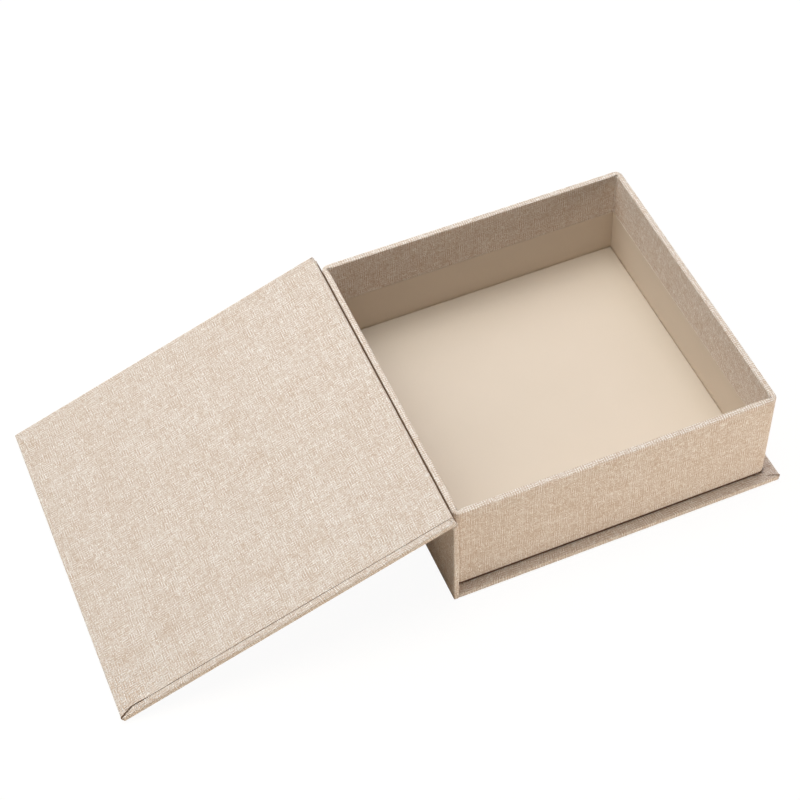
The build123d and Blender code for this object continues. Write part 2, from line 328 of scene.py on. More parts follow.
def carried_round(low, high, columns, inset, height, radius):
    """Carries a profile round a rectangle. At each row the path is the rectangle drawn in by inset, with
    its corners rounded to radius: point = corner - sign * (inset + radius) + radius * (cos, sin)(facing)."""
    side, share, turn, first, second = columns
    facing = (side + turn - 1) * math.pi / 2
    reach = np.stack([np.cos(facing), np.sin(facing)])
    planar = []
    for axis in range(2):
        start = np.where(first[axis] > 0, high[axis], low[axis]) - first[axis] * (inset + radius)
        end = np.where(second[axis] > 0, high[axis], low[axis]) - second[axis] * (inset + radius)
        planar.append((1 - share) * start + share * end + radius * reach[axis])
    return np.stack([*planar, height], axis=-1)


def profile_length(inset, height):
    """How far along its profile each row lies, in each column if there are any."""
    step = np.hypot(np.diff(inset, axis=0), np.diff(height, axis=0))
    return np.concatenate([np.zeros_like(step[:1]), np.cumsum(step, axis=0)])


def sheet_turned_in(low, high, columns, inset, height, radius):
    """The flat coordinates of a sheet that is folded over a board's edges: outside its first row's path each
    point lies outwards by the profile's own length."""
    ahead = profile_length(inset, height) + radius[:1]
    fold = inset[:1] + radius[:1] - ahead
    return carried_round(low, high, columns, fold, height, ahead)[..., :2]


def strip_wound_round(low, high, columns, inset, height, radius):
    """The flat coordinates of a strip that is wound round a box: first the way round, where each side starts
    after the corner's bend of the side before it, and then the way along the profile."""
    side, share, turn = columns[:3]
    lengths = np.array([high[0] - low[0], high[1] - low[1]])
    widest = radius.max()
    bend = math.pi / 2 * widest
    starts = np.concatenate([[0], np.cumsum(np.tile(lengths - 2 * widest + bend, 2))])
    spare = inset + radius - widest
    span = lengths[side % 2] - 2 * widest
    straight = starts[side] + spare + share * (span - 2 * spare)
    around = straight + turn * (bend + 2 * spare)
    return np.stack([around, profile_length(inset, height)], axis=-1)


def face_fill(low, high, straight, inset, height):
    """The flat grid inside a carried profile's first row, with the same points along its edge."""
    shares = [np.linspace(0, 1, count + 1) for count in straight]
    first = low[0] + inset + shares[0] * (high[0] - low[0] - 2 * inset)
    second = low[1] + inset + shares[1] * (high[1] - low[1] - 2 * inset)
    grid = np.stack(np.meshgrid(first, second), axis=-1)
    return np.concatenate([grid, np.full((*grid.shape[:2], 1), height)], axis=-1)[::-1], grid[::-1]


SAME_PLACE = 0.001 * MM


def add_object(name, data):
    """A new object in the scene that holds the data."""
    thing = bpy.data.objects.new(name, data)
    bpy.context.scene.collection.objects.link(thing)
    return thing


def build_piece(name, grids, material, thickness=CLOTH, edge_material=None, marks=None):
    """One mesh out of grids of points, each with its flat coordinates: four neighbours make a face, and
    points in the same place are joined. The sheet's thickness goes inwards, away from the faces' outer side.
    marks gives a share at each corner of the faces for the material, from the point's place."""
    points, faces, flats = [], [], []
    count = 0
    for grid, flat in grids:
        rows, columns = grid.shape[:2]
        index = np.arange(rows * columns).reshape(rows, columns) + count
        quads = [index[:-1, :-1], index[:-1, 1:], index[1:, 1:], index[1:, :-1]]
        faces.append(np.stack(quads, axis=-1).reshape(-1, 4))
        points.append(grid.reshape(-1, 3))
        flats.append(flat.reshape(-1, 2))
        count += rows * columns
    points = np.concatenate(points)
    faces = np.concatenate(faces)
    flats = np.concatenate(flats)
    mesh = bpy.data.meshes.new(name)
    mesh.from_pydata(points, [], faces.tolist())
    layer = mesh.uv_layers.new(name="cloth")
    layer.data.foreach_set("uv", flats[faces.ravel()].astype(np.float32).ravel())
    for mark, share_at in (marks or {}).items():
        shares = share_at(points[faces.ravel()])
        mesh.attributes.new(mark, "FLOAT", "CORNER").data.foreach_set("value", shares.astype(np.float32))
    work = bmesh.new()
    work.from_mesh(mesh)
    bmesh.ops.remove_doubles(work, verts=work.verts, dist=SAME_PLACE)
    bmesh.ops.dissolve_degenerate(work, edges=work.edges, dist=SAME_PLACE)
    work.to_mesh(mesh)
    work.free()
    mesh.polygons.foreach_set("use_smooth", np.ones(len(mesh.polygons), bool))
    mesh.materials.append(material)
    mesh.materials.append(edge_material or material)
    piece = add_object(name, mesh)
    if thickness:
        solid = piece.modifiers.new("thickness", "SOLIDIFY")
        solid.thickness = thickness
        solid.offset = -1
        solid.material_offset_rim = 1
    return piece


def ripple(first, second, wave, seed):
    """A smooth unevenness from about -1 to 1: six sines that run in seeded directions with seeded phases."""
    draw = np.random.default_rng(seed)
    total = np.zeros_like(first)
    for turn, phase, stretch in draw.uniform([0, 0, 0.6], [math.pi, 2 * math.pi, 1.7], (6, 3)):
        way = first * math.cos(turn) + second * math.sin(turn)
        total += np.sin(2 * math.pi * way * stretch / wave + phase)
    return total / 4


TRAY_LOW, TRAY_HIGH = (np.array(corner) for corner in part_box("tray_cover_cloth"))
TRAY_CORNER = 4.5 * MM
WALL = 3.7 * MM
RIM_OUTER = 0.8 * MM
RIM_INNER = 0.6 * MM
RIM_SWELL = 0.02 * MM
RIM_SAG = 0.03 * MM
FOOT_ROUND = 0.35 * MM
FOOT_LIFT = 0.15 * MM
FOOT_SHADE_REACH = 1.7 * MM
SHADE_FADE = 0.3 * MM
WALL_COMB = 0.36
RIM_TURN_IN = 32 * MM
PAPER_OVERLAP = 6 * MM
UNDER_TURN_IN = 12 * MM
BAND_BULGE = 0.18 * MM
PINHOLE_DEPTH = 1.3 * MM
PINHOLE_REACH = 0.5 * MM
TRAY_COLUMNS = (60, 60)
RIM_Z = TRAY_HIGH[2]
BAND_Z = RIM_Z - RIM_TURN_IN


def limited(value):
    """The value, kept from 0 to 1."""
    return np.clip(value, 0, 1)


def arc_rows(start, end, count):
    """Angles from start to end in degrees, without the start."""
    return np.radians(np.linspace(start, end, count + 1)[1:])


def tray_profile():
    """The strip's section as inset and height: in from under the floor, out round the foot, up the wall, over
    the rim, whose top swells a little, and down the inside to under the lining paper."""
    foot = TRAY_LOW[2] + FOOT_LIFT
    bottom = arc_rows(-90, 0, 5)
    outer = arc_rows(0, 90, 6)
    inner = arc_rows(90, 180, 5)
    top = np.linspace(0, 1, 7)[1:]
    inset = [UNDER_TURN_IN, 4 * MM, FOOT_ROUND]
    height = [foot, foot, foot]
    inset += [*(FOOT_ROUND * (1 - np.cos(bottom)))]
    height += [*(foot + FOOT_ROUND * (1 + np.sin(bottom)))]
    over_glue = np.array([1.2, 1.55, 2]) * MM
    wall = np.concatenate([foot + over_glue, np.linspace(foot + 3 * MM, RIM_Z - RIM_OUTER, 16)])
    inset += [0] * len(wall)
    height += [*wall]
    inset += [*(RIM_OUTER * (1 - np.cos(outer)))]
    height += [*(RIM_Z - RIM_OUTER * (1 - np.sin(outer)))]
    inset += [*(RIM_OUTER + (WALL - RIM_OUTER - RIM_INNER) * top)]
    height += [*(RIM_Z + RIM_SWELL * np.sin(math.pi * top))]
    inset += [*(WALL - RIM_INNER * (1 + np.cos(inner)))]
    height += [*(RIM_Z - RIM_INNER * (1 - np.sin(inner)))]
    band = np.linspace(RIM_Z - RIM_INNER, BAND_Z, 14)[1:]
    drop = (RIM_Z - RIM_INNER - band) / (RIM_Z - RIM_INNER - BAND_Z)
    inset += [*(WALL + BAND_BULGE * np.sin(math.pi * drop) ** 2)]
    height += [*band]
    inset += [WALL, WALL]
    height += [BAND_Z - PAPER_OVERLAP / 2, BAND_Z - PAPER_OVERLAP]
    return np.array(inset), np.array(height)


def tray_linen_grid():
    """The profile carried round the tray. The upright corners are round outside and shrink to a sharp corner
    at the wall's inner face. A pinhole is left at each inner rim corner, where the turned-in cloth is cut."""
    columns = side_columns(TRAY_COLUMNS, 10)
    inset, height = tray_profile()
    shape = (len(inset), len(columns[0]))
    inset = np.broadcast_to(inset[:, None], shape)
    height = np.broadcast_to(height[:, None], shape)
    radius = TRAY_CORNER * limited(1 - inset / WALL)
    points = carried_round(TRAY_LOW, TRAY_HIGH, columns, inset, height, radius)
    flat = strip_wound_round(TRAY_LOW, TRAY_HIGH, columns, inset, height, radius)
    inner = TRAY_HIGH[0] - WALL
    gap = np.hypot(np.abs(points[..., 0]) - inner, np.abs(points[..., 1]) - inner)
    rim = limited((height - RIM_Z + 1.5 * MM) / MM)
    points[..., 2] -= rim * PINHOLE_DEPTH * np.exp(-((gap / PINHOLE_REACH) ** 2))
    sag = RIM_SAG * ripple(points[..., 0] + points[..., 2], points[..., 1], 45 * MM, 3)
    points[..., 2] += limited((height - RIM_Z + 2 * MM) / (2 * MM)) * sag
    return points, flat


def rim_comb(points):
    """1 on the rim's top and its rounds, where alternate warp threads are lightened as a painted highlight on
    the thread crests, and WALL_COMB from 2 mm below it, as streaks in the cloth.
    """
    return WALL_COMB + (1 - WALL_COMB) * limited((points[:, 2] - RIM_Z + 2 * MM) / (1.4 * MM))


def foot_and_gap_shade(points):
    """Painted shade in the joints: 1 in the joint under the foot and 0 from 1.7 mm up the wall, and 1 behind,
    in the gap where the spine is pasted on, up to just under the rim."""
    foot = limited((TRAY_LOW[2] + FOOT_SHADE_REACH - points[:, 2]) / SHADE_FADE)
    behind = limited((RIM_Z - 0.2 * MM - points[:, 2]) / SHADE_FADE) * (points[:, 0] < TRAY_LOW[0] + MM)
    return np.maximum(foot, behind * (np.abs(points[:, 1]) < TRAY_HIGH[1] - TRAY_CORNER))


tray_marks = {"streak_and_highlight": rim_comb, "painted_shade": foot_and_gap_shade}
tray_linen = build_piece("tray_linen", [tray_linen_grid()], strip_linen, CLOTH, cut_edge, tray_marks)
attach(tray_linen, "box")
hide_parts("tray_cover_cloth")


# --- Tray's lining paper: smooth uncoated paper, pasted in last. A band on each wall runs from the floor up
# over the linen's cut edge, and the floor's sheet drops in between the bands.
PAPER = 0.25 * MM
PAPER_FACE = linear(218, 204, 188)
PAPER_SHADE = linear(211, 197, 180)
PAPER_CORE = linear(240, 230, 214)
PAPER_FIBRE = 0.9 * MM
PAPER_CLOUD = 30 * MM
PAPER_RELIEF = 0.015 * MM
PAPER_SPECULAR = 0.3
PAPER_SLIP = 0.02 * MM
BAND_WAVE = 0.04 * MM
BAND_LIFT = 0.1 * MM
FLOOR_WAVE = 0.05 * MM

paper, tree, shader = new_material("lining_paper", 0.82)
shader.inputs["Specular IOR Level"].default_value = PAPER_SPECULAR
flat = add_node(tree, "ShaderNodeUVMap", {"uv_map": "cloth"}, {}).outputs[0]
fibre = noise(tree, flat, PAPER_FIBRE, 5.0)[0]
cloud = noise(tree, flat, PAPER_CLOUD, 3.0)[0]
tone = calc(tree, "MULTIPLY_ADD", fibre, 0.5, calc(tree, "MULTIPLY", cloud, 0.5))
colour_between(tree, shader, tone, PAPER_SHADE, PAPER_FACE)
add_bump(tree, shader, fibre, PAPER_RELIEF)

paper_edge, tree, shader = new_material("paper_cut_edge", 0.9)
nap = noise(tree, object_place(tree), PAPER_FIBRE, 3.0)[0]
colour_between(tree, shader, nap, PAPER_FACE, PAPER_CORE)

FLOOR_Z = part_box("floor_lining_paper")[1][2]
PAPER_X = TRAY_HIGH[0] - WALL - PAPER
PAPER_Y = TRAY_HIGH[1] - WALL - PAPER


def close_at_ends(low, high, edge, count, skip=1):
    """Places from low to high: evenly spaced, but at each end in the close steps that edge gives."""
    return np.concatenate([low + edge, np.linspace(low, high, count)[skip:-skip], high - edge[::-1]])


def band_grid(half, across, along_x, seed):
    """A wall's band of paper as a grid along the wall and up it. Its face waves by BAND_WAVE, and its upper
    edge stands BAND_LIFT off the linen. across is where its face is, with its sign."""
    way = close_at_ends(-half, half, np.array([0, 0.25, 1]) * MM, 50, 2)
    top = BAND_Z - np.array([0.6, 0.2, 0]) * MM
    rise = np.concatenate([np.linspace(FLOOR_Z - PAPER, BAND_Z - 2 * MM, 12), top])
    along, up = np.meshgrid(way, rise)
    wave = BAND_WAVE * ripple(along, up, 40 * MM, seed) * limited((half - np.abs(along)) / (4 * MM))
    lift = BAND_LIFT * limited(1 - (BAND_Z - up) / (2.5 * MM)) ** 2
    face = across - np.sign(across) * (np.abs(wave) + lift)
    order = [along, face, up] if along_x else [face, along, up]
    points = np.stack(order, axis=-1)
    inwards = along_x == (across > 0)
    flat = np.stack([along, up + seed * 0.1], axis=-1)
    return (points, flat) if inwards else (points[::-1], flat[::-1])


bands = {
    "near": (TRAY_HIGH[0] - WALL, -PAPER_Y, True, 11),
    "far": (TRAY_HIGH[0] - WALL, PAPER_Y, True, 12),
    "spine": (PAPER_Y, -PAPER_X, False, 13),
    "fore": (PAPER_Y, PAPER_X, False, 14),
}
for side, (half, across, along_x, seed) in bands.items():
    grid = band_grid(half, across, along_x, seed)
    band = build_piece(f"paper_band_{side}", [grid], paper, PAPER, paper_edge)
    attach(band, "box")
    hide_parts(f"wall_lining_paper_{side}")


def floor_paper_grid():
    """The floor's sheet as a flat grid that waves by FLOOR_WAVE, and not at its edges."""
    half = np.array([PAPER_X, PAPER_Y]) - PAPER_SLIP
    edge = np.array([0, 0.2, 0.8]) * MM
    across, along = np.meshgrid(*(close_at_ends(-reach, reach, edge, 50) for reach in half))
    fade = limited((half[0] - np.abs(across)) / (6 * MM))
    fade = fade * limited((half[1] - np.abs(along)) / (6 * MM))
    up = FLOOR_Z + FLOOR_WAVE * ripple(across, along, 70 * MM, 15) * fade
    return np.stack([across, along, up], axis=-1), np.stack([across, along], axis=-1)


floor_paper = build_piece("paper_floor", [floor_paper_grid()], paper, PAPER, paper_edge)
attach(floor_paper, "box")
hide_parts("floor_lining_paper")


# --- Case's linen on the base: the sheet lies under the base board, comes round its edges and is turned in
# 15 mm over its top, where it shows as a flange round the tray. At the two fore corners the fore-edge's
# turn-in is folded over the others' ends, so its slanted edge shows as a shallow mitre.
CASE_CORNER = 1.2 * MM
CASE_ROUND = 0.8 * MM
MITRE_START = 0.5 * MM
MITRE_SLOPE = 0.4
MITRE_STEP = 0.12 * MM
MITRE_SUNK = 0.12
STEP_REACH = 16 * MM
MITRE_CURL = 0.75 * MM
CURL_WIDTH = 1.3 * MM
CASE_WAVE = 0.04 * MM
FLANGE_ROWS = np.array([2.6, 4.6, 5.8, 6.25, 6.6, 7.2, 10, 15]) * MM
JOINT_DIP = 0.1 * MM
FACE_INSET = 4 * MM
BASE_LOW, BASE_HIGH = (np.array(corner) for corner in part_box("base_cover_cloth"))


def slab_profile(columns, thick, outer_round, inner_round):
    """A covered board's section as inset and height, from its outer face round the edge and in over its other
    face. The two rounds are given for each column."""
    turn = arc_rows(0, 90, 5)[:, None]
    inset = [np.full((1, columns), FACE_INSET), outer_round[None]]
    height = [np.zeros((2, columns))]
    inset.append(outer_round * (1 - np.sin(turn)))
    height.append(outer_round * (1 - np.cos(turn)))
    side = np.array([0.33, 0.67])[:, None]
    inset.append(np.zeros((2, columns)))
    height.append(outer_round + (thick - inner_round - outer_round) * side)
    inset += [np.zeros((1, columns)), inner_round * (1 - np.cos(turn))]
    height += [(thick - inner_round)[None], thick - inner_round * (1 - np.sin(turn))]
    inset.append(np.repeat(FLANGE_ROWS[:, None], columns, axis=1))
    height.append(np.full((len(FLANGE_ROWS), columns), thick))
    return np.concatenate(inset), np.concatenate(height)


def slab_grids(low, high, thick, straight, rounds, corners, wave_seed):
    """The cloth round a board, in the board's own axes: two along its outer face and one through it. rounds
    gives the outer and inner rounds of the free sides, and then those of the side at the first axis' low end.
    corners gives the rounding in plan of the two corners at that end, and of the other two."""
    columns = side_columns(straight, 6)
    facing = (columns[0] + columns[2] - 1) * math.pi / 2
    spine_side = limited(-np.cos(facing)) ** 2
    outer_round = rounds[0] + (rounds[2] - rounds[0]) * spine_side
    inner_round = rounds[1] + (rounds[3] - rounds[1]) * spine_side
    inset, height = slab_profile(len(spine_side), thick, outer_round, inner_round)
    share, first, second = columns[1], columns[3][0], columns[4][0]
    start = np.where(first < 0, corners[0], corners[1])
    end = np.where(second < 0, corners[0], corners[1])
    radius = np.clip(start + (end - start) * share - inset, 0, None)
    edge = carried_round(low, high, columns, inset, height, radius)
    edge_flat = sheet_turned_in(low, high, columns, inset, height, radius)
    face, face_flat = face_fill(low, high, straight, FACE_INSET, 0)
    for points in (edge, face):
        depth = np.minimum(points[..., :2] - low, high - points[..., :2]).min(axis=-1)
        wave = CASE_WAVE * ripple(points[..., 0], points[..., 1], 60 * MM, wave_seed)
        points[..., 2] += np.abs(wave) * limited(depth / (5 * MM))
    return [(edge, edge_flat), (face, face_flat)]


def mitred_flap_grid(low, high, thick, inner_round, half_width, curls, free):
    """The fore-edge's turn-in, which lies over the ends of the other two: from the middle of the fore edge
    round on to the flange, with its ends cut back by MITRE_SLOPE of the inset. It stands MITRE_STEP proud at
    its ends, where cloth lies under it, and MITRE_SUNK of that away from them. Its two cut edges curl up by
    the shares in curls, as far in as the flap is free."""
    turn = arc_rows(0, 90, 5)
    level = np.ones(len(FLANGE_ROWS))
    inset = np.concatenate([[0], inner_round * (1 - np.cos(turn)), FLANGE_ROWS])
    height = np.concatenate([[thick / 2], thick - inner_round * (1 - np.sin(turn)), thick * level])
    facing = np.concatenate([[0], turn, math.pi / 2 * level])
    proud = np.concatenate([[0], np.linspace(0.1, 1, 5), level])
    ends = np.array([0, 0.2, 0.5, 0.9, 1.5, 2.4, 4, 7, 12, 17, 24, 34]) * MM
    middle = np.linspace(-half_width + 50 * MM, half_width - 50 * MM, 20)
    way = np.concatenate([-half_width + ends, middle, half_width - ends[::-1]])
    reach = half_width - MITRE_START - MITRE_SLOPE * np.clip(inset - 0.3 * MM, 0, None)
    along = way[None] / half_width * reach[:, None]
    from_end = half_width - np.abs(way)
    step = MITRE_STEP * (MITRE_SUNK + (1 - MITRE_SUNK) * np.exp(-((from_end / STEP_REACH) ** 2)))
    step = step * (1 + 0.25 * ripple(way * 1.0, way * 0.3, 7 * MM, 21))
    curl = MITRE_CURL * np.where(way < 0, *curls) * np.exp(-((from_end / CURL_WIDTH) ** 2))
    curled = limited((free - inset) / (0.7 * MM))[:, None]
    lift = proud[:, None] * (step[None] + curl[None] * curled)
    across = high[0] - inset[:, None] + lift * np.cos(facing)[:, None]
    up = height[:, None] + lift * np.sin(facing)[:, None]
    middle = (low[1] + high[1]) / 2
    length = profile_length(inset, height)
    flat = np.stack(np.broadcast_arrays(high[0] + length[:, None], middle + along), axis=-1)
    points = np.stack([across, middle + along, up], axis=-1)
    return points, flat


def under_tray(points):
    """How far each point lies inside the tray's outline, a square with rounded corners. Outside it is less
    than zero."""
    beyond = np.abs(points[..., :2]) - (TRAY_HIGH[:2] - TRAY_CORNER)
    outside = np.hypot(*np.moveaxis(np.clip(beyond, 0, None), -1, 0))
    return TRAY_CORNER - outside - np.minimum(beyond.max(axis=-1), 0)


def flange_foot_shade(points):
    """Painted shade in the joint: 1 on the base's upper side under the tray's foot, 0 from 0.3 mm in front of
    it.
    """
    return limited(1 + under_tray(points) / SHADE_FADE) * (points[:, 2] > base_thick / 2)


CASE_COLUMNS = (58, 60)
BASE_INNER_ROUND = 0.45 * MM
BASE_FLAP_FREE = 6.6 * MM
SQUARE_CORNER = 0.35 * MM
base_thick = BASE_HIGH[2] - BASE_LOW[2]
base_rounds = (CASE_ROUND, BASE_INNER_ROUND, CASE_ROUND, BASE_INNER_ROUND)
base_corners = (SQUARE_CORNER, CASE_CORNER)
base_slab = (BASE_LOW[:2], BASE_HIGH[:2], base_thick)
base_grids = slab_grids(*base_slab, CASE_COLUMNS, base_rounds, base_corners, 31)
base_curls = (1.0, 0.3)
base_flap = (BASE_INNER_ROUND, BASE_HIGH[1], base_curls, BASE_FLAP_FREE)
base_grids.append(mitred_flap_grid(*base_slab, *base_flap))
for points, flat in base_grids:
    sunk = limited(0.2 + under_tray(points) / (0.4 * MM))
    points[..., 2] -= JOINT_DIP * sunk * (points[..., 2] > base_thick / 2)
base_linen = build_piece("base_linen", base_grids, linen, CLOTH, cut_edge, {"painted_shade": flange_foot_shade})
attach(base_linen, "box")
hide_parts("base_cover_cloth")


# --- Case's linen on the spine: the same sheet goes up the spine board's outer face, round its ends and in
# behind it. The lid's lining comes down behind it, between the spine and the tray.
SPINE_LOW, SPINE_HIGH = (np.array(corner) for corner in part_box("spine_cover_cloth"))
SPINE_INNER_ROUND = 0.5 * MM
SPINE_COLUMNS = (60, 24)
HINGE_END_CLEAR = 2.5 * MM
END_FADE = 2 * MM
spine_thick = SPINE_HIGH[0] - SPINE_LOW[0]


def spine_place(points):
    """From the spine board's own axes, along it, up it and through it, to the box's."""
    return np.stack([SPINE_LOW[0] + points[..., 2], points[..., 0], points[..., 1]], axis=-1)


spine_rounds = (CASE_ROUND, SPINE_INNER_ROUND, CASE_ROUND, SPINE_INNER_ROUND)
spine_corners = (SQUARE_CORNER, SQUARE_CORNER)
spine_slab = (SPINE_LOW[1:], SPINE_HIGH[1:], spine_thick)
spine_grids = slab_grids(*spine_slab, SPINE_COLUMNS, spine_rounds, spine_corners, 41)


def off_ends(points):
    """1 along the hinge, and 0 at both of its ends, which show."""
    return limited((SPINE_HIGH[1] - HINGE_END_CLEAR - np.abs(points[:, 1])) / END_FADE)


def spine_top_shade(points):
    """Painted shade in the hinge's gap: 1 on the spine's top behind the hinge's strip, where the strip is
    pasted on, and 0 at its ends.
    """
    behind = (points[:, 0] > SPINE_LOW[0] + 1.6 * MM) * (points[:, 2] > SPINE_HIGH[2] - 1.2 * MM)
    return behind * off_ends(points)


spine_places = [(spine_place(grid), flat) for grid, flat in spine_grids]
spine_linen = build_piece("spine_linen", spine_places, linen, CLOTH, cut_edge, {"painted_shade": spine_top_shade})
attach(spine_linen, "box")
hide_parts("spine_cover_cloth")

STRIP_LOW, STRIP_HIGH = (np.array(corner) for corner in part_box("spine_lining_cloth"))
STRIP_SLIP = 0.02 * MM


def spine_strip_grid():
    """A flat strip on the spine's inner face, which the tray's wall hides but for its two ends."""
    way = close_at_ends(STRIP_LOW[1], STRIP_HIGH[1], np.array([0, 0.25, 1]) * MM, 40)
    along, up = np.meshgrid(way, np.linspace(STRIP_LOW[2], STRIP_HIGH[2], 12))
    across = np.full_like(along, STRIP_HIGH[0] - STRIP_SLIP)
    return np.stack([across, along, up], axis=-1), np.stack([along, up + 0.4], axis=-1)


def strip_top_shade(points):
    """Painted shade: 1 at the strip's upper edge, down in the gap between the spine and the tray."""
    return limited((points[:, 2] - STRIP_HIGH[2] + 7 * MM) / (5 * MM))


strip_marks = {"painted_shade": strip_top_shade}
spine_strip = build_piece("spine_lining_linen", [spine_strip_grid()], linen, CLOTH, cut_edge, strip_marks)
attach(spine_strip, "box")
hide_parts("spine_lining_cloth")


# --- Lid's linen: the case's sheet goes over the lid board's outer face, round its edges and in over its
# inner face. It is made shut and then turned back about the hinge.
HINGE = np.array(frame["joints"][0]["pos_m"])
OPEN_ANGLE = math.radians(frame["joints"][0]["range_deg"][1])


def turned(points, angle):
    """Points turned about the hinge, whose axis lies along +Y: x' = x cos + z sin and z' = z cos - x sin."""
    away = points - HINGE
    x = away[..., 0] * math.cos(angle) + away[..., 2] * math.sin(angle)
    z = away[..., 2] * math.cos(angle) - away[..., 0] * math.sin(angle)
    return np.stack([x, away[..., 1], z], axis=-1) + HINGE


def shut_box(name):
    """The lowest and highest corners of one of the lid's nodes when the lid is shut."""
    mesh = frame["nodes"][name].data
    places = np.empty(len(mesh.vertices) * 3)
    mesh.vertices.foreach_get("co", places)
    shut = turned(places.reshape(-1, 3), OPEN_ANGLE)
    return shut.min(axis=0), shut.max(axis=0)


LID_LOW, LID_HIGH = shut_box("lid_cover_cloth")
LID_HINGE_ROUND = 1.5 * MM
LID_FLAP_FREE = 8.3 * MM
lid_thick = LID_HIGH[2] - LID_LOW[2]


def lid_place(points):
    """From the lid board's own axes, across it, along it and through it from outside, to the open lid."""
    shut = np.stack([points[..., 0], -points[..., 1], LID_HIGH[2] - points[..., 2]], axis=-1)
    return turned(shut, -OPEN_ANGLE)


lid_rounds = (CASE_ROUND, CASE_ROUND, CASE_ROUND, LID_HINGE_ROUND)
lid_corners = (SQUARE_CORNER, CASE_CORNER)
lid_slab = (LID_LOW[:2], LID_HIGH[:2], lid_thick)
lid_grids = slab_grids(*lid_slab, CASE_COLUMNS, lid_rounds, lid_corners, 51)
lid_curls = (0.2, 1.1)
lid_flap = (CASE_ROUND, LID_HIGH[1], lid_curls, LID_FLAP_FREE)
lid_grids.append(mitred_flap_grid(*lid_slab, *lid_flap))


def mitre_edge_shade(points):
    """Painted shade beside the mitre: 1 on the flap's cut edge at the near corner, where the lifted flap's
    shadow falls, 0 from 0.5 mm in from it.
    """
    shut = turned(points, OPEN_ANGLE)
    cut = LID_HIGH[1] + shut[:, 1] - MITRE_START - MITRE_SLOPE * (LID_HIGH[0] - shut[:, 0])
    proud = LID_LOW[2] - shut[:, 2] > MITRE_STEP / 2
    return limited(1.4 - np.abs(cut) / (0.35 * MM)) * proud


lid_places = [(lid_place(grid), flat) for grid, flat in lid_grids]
lid_linen = build_piece("lid_linen", lid_places, linen, CLOTH, cut_edge, {"painted_shade": mitre_edge_shade})
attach(lid_linen, "lid")
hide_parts("lid_cover_cloth")


# --- Lid's lining: a second sheet of the same linen on the lid's inner face. It lies over the turned-in
# cloth, 3.8 mm short of three edges, and bends down over the hinge edge.
LINING_INSET = 3.8 * MM
LINING_PROUD = 0.16 * MM
LINING_WAVE = 0.03 * MM
LINING_LIFT = 0.08 * MM
LIFT_WIDTH = 1.3 * MM
LINING_LAP = 1.2 * MM
CORNER_LIFT = 0.5 * MM
CORNER_WIDTH = 1.6 * MM
CORNER_MIDDLE = 7 * MM
CORNER_REACH = 6 * MM


def lid_lining_grid():
    """A grid from the fore-edge to the hinge and from end to end. Past the flat part it follows the hinge
    edge's round, of radius LID_HINGE_ROUND + LINING_PROUD, and sinks level with the cloth at its lap's end.
    Its long near edge, and less so the far one, stands off by a lift that comes and goes."""
    edge = np.array([0, 0.12, 0.4, 1.2]) * MM
    low, high = LID_LOW[1] + LINING_INSET, LID_HIGH[1] - LINING_INSET
    way = close_at_ends(low, high, edge, 90, 2)
    fore = LID_HIGH[0] - LINING_INSET
    bend = LID_LOW[0] + LID_HINGE_ROUND
    across = np.concatenate([fore - edge, np.linspace(fore, bend, 80)[2:]])
    level = np.ones(len(across))
    turn = arc_rows(0, 90, 8)
    lap = np.array([0.4, 0.8, 1.0]) * LINING_LAP
    sink = np.array([0.7, 0.25, -0.1])
    inset = np.concatenate([across, bend - LID_HINGE_ROUND * np.sin(turn), np.full(len(lap), LID_LOW[0])])
    corner = lid_thick - LID_HINGE_ROUND
    height = np.concatenate([lid_thick * level, corner + LID_HINGE_ROUND * np.cos(turn), corner - lap])
    facing = np.concatenate([0 * level, turn, np.full(len(lap), math.pi / 2)])
    proud = LINING_PROUD * np.concatenate([level, np.ones(len(turn)), sink])
    rows, along = np.meshgrid(np.arange(len(inset)), way, indexing="ij")
    length = profile_length(inset, height)
    from_near = high - along
    from_far = along - low
    loose = limited(0.55 + 0.8 * ripple(length[rows], along * 0, 38 * MM, 61))
    lift = LINING_LIFT * loose * np.exp(-((from_near / LIFT_WIDTH) ** 2))
    lift = lift + 0.4 * LINING_LIFT * (1 - loose) * np.exp(-((from_far / LIFT_WIDTH) ** 2))
    from_corner = np.hypot(from_near / CORNER_WIDTH, (length[rows] - CORNER_MIDDLE) / CORNER_REACH)
    lift = lift + CORNER_LIFT * np.exp(-(from_corner**2))
    wave = LINING_WAVE * np.abs(ripple(length[rows], along, 65 * MM, 62))
    inside = limited(np.minimum(from_near, from_far) / (4 * MM))
    out = proud[rows] + lift * (facing[rows] == 0) + wave * inside
    x = inset[rows] - out * np.sin(facing[rows])
    z = height[rows] + out * np.cos(facing[rows])
    flat = np.stack([fore - length[rows] + 0.6, along + 0.3], axis=-1)
    return np.stack([x, along, z], axis=-1), flat


lining_points, lining_flat = lid_lining_grid()


def lining_edge_shade(points):
    """Painted shade along the lining's near cut edge, where its shade falls: plain for 14 mm, then faint,
    then plainer again.
    """
    from_near = points[:, 1] + LID_HIGH[1] - LINING_INSET
    from_fore = LID_HIGH[0] - LINING_INSET - turned(points, OPEN_ANGLE)[:, 0]
    strength = 0.3 + 0.7 * limited((14 * MM - from_fore) / (4 * MM))
    strength = strength + 0.4 * limited((from_fore - 20 * MM) / (12 * MM))
    return limited(1.4 - from_near / (0.28 * MM)) * strength


lining_grids = [(lid_place(lining_points), lining_flat)]
lid_lining = build_piece("lid_lining_linen", lining_grids, linen, CLOTH, cut_edge, {"painted_shade": lining_edge_shade})
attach(lid_lining, "lid")
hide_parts("lid_lining_cloth")


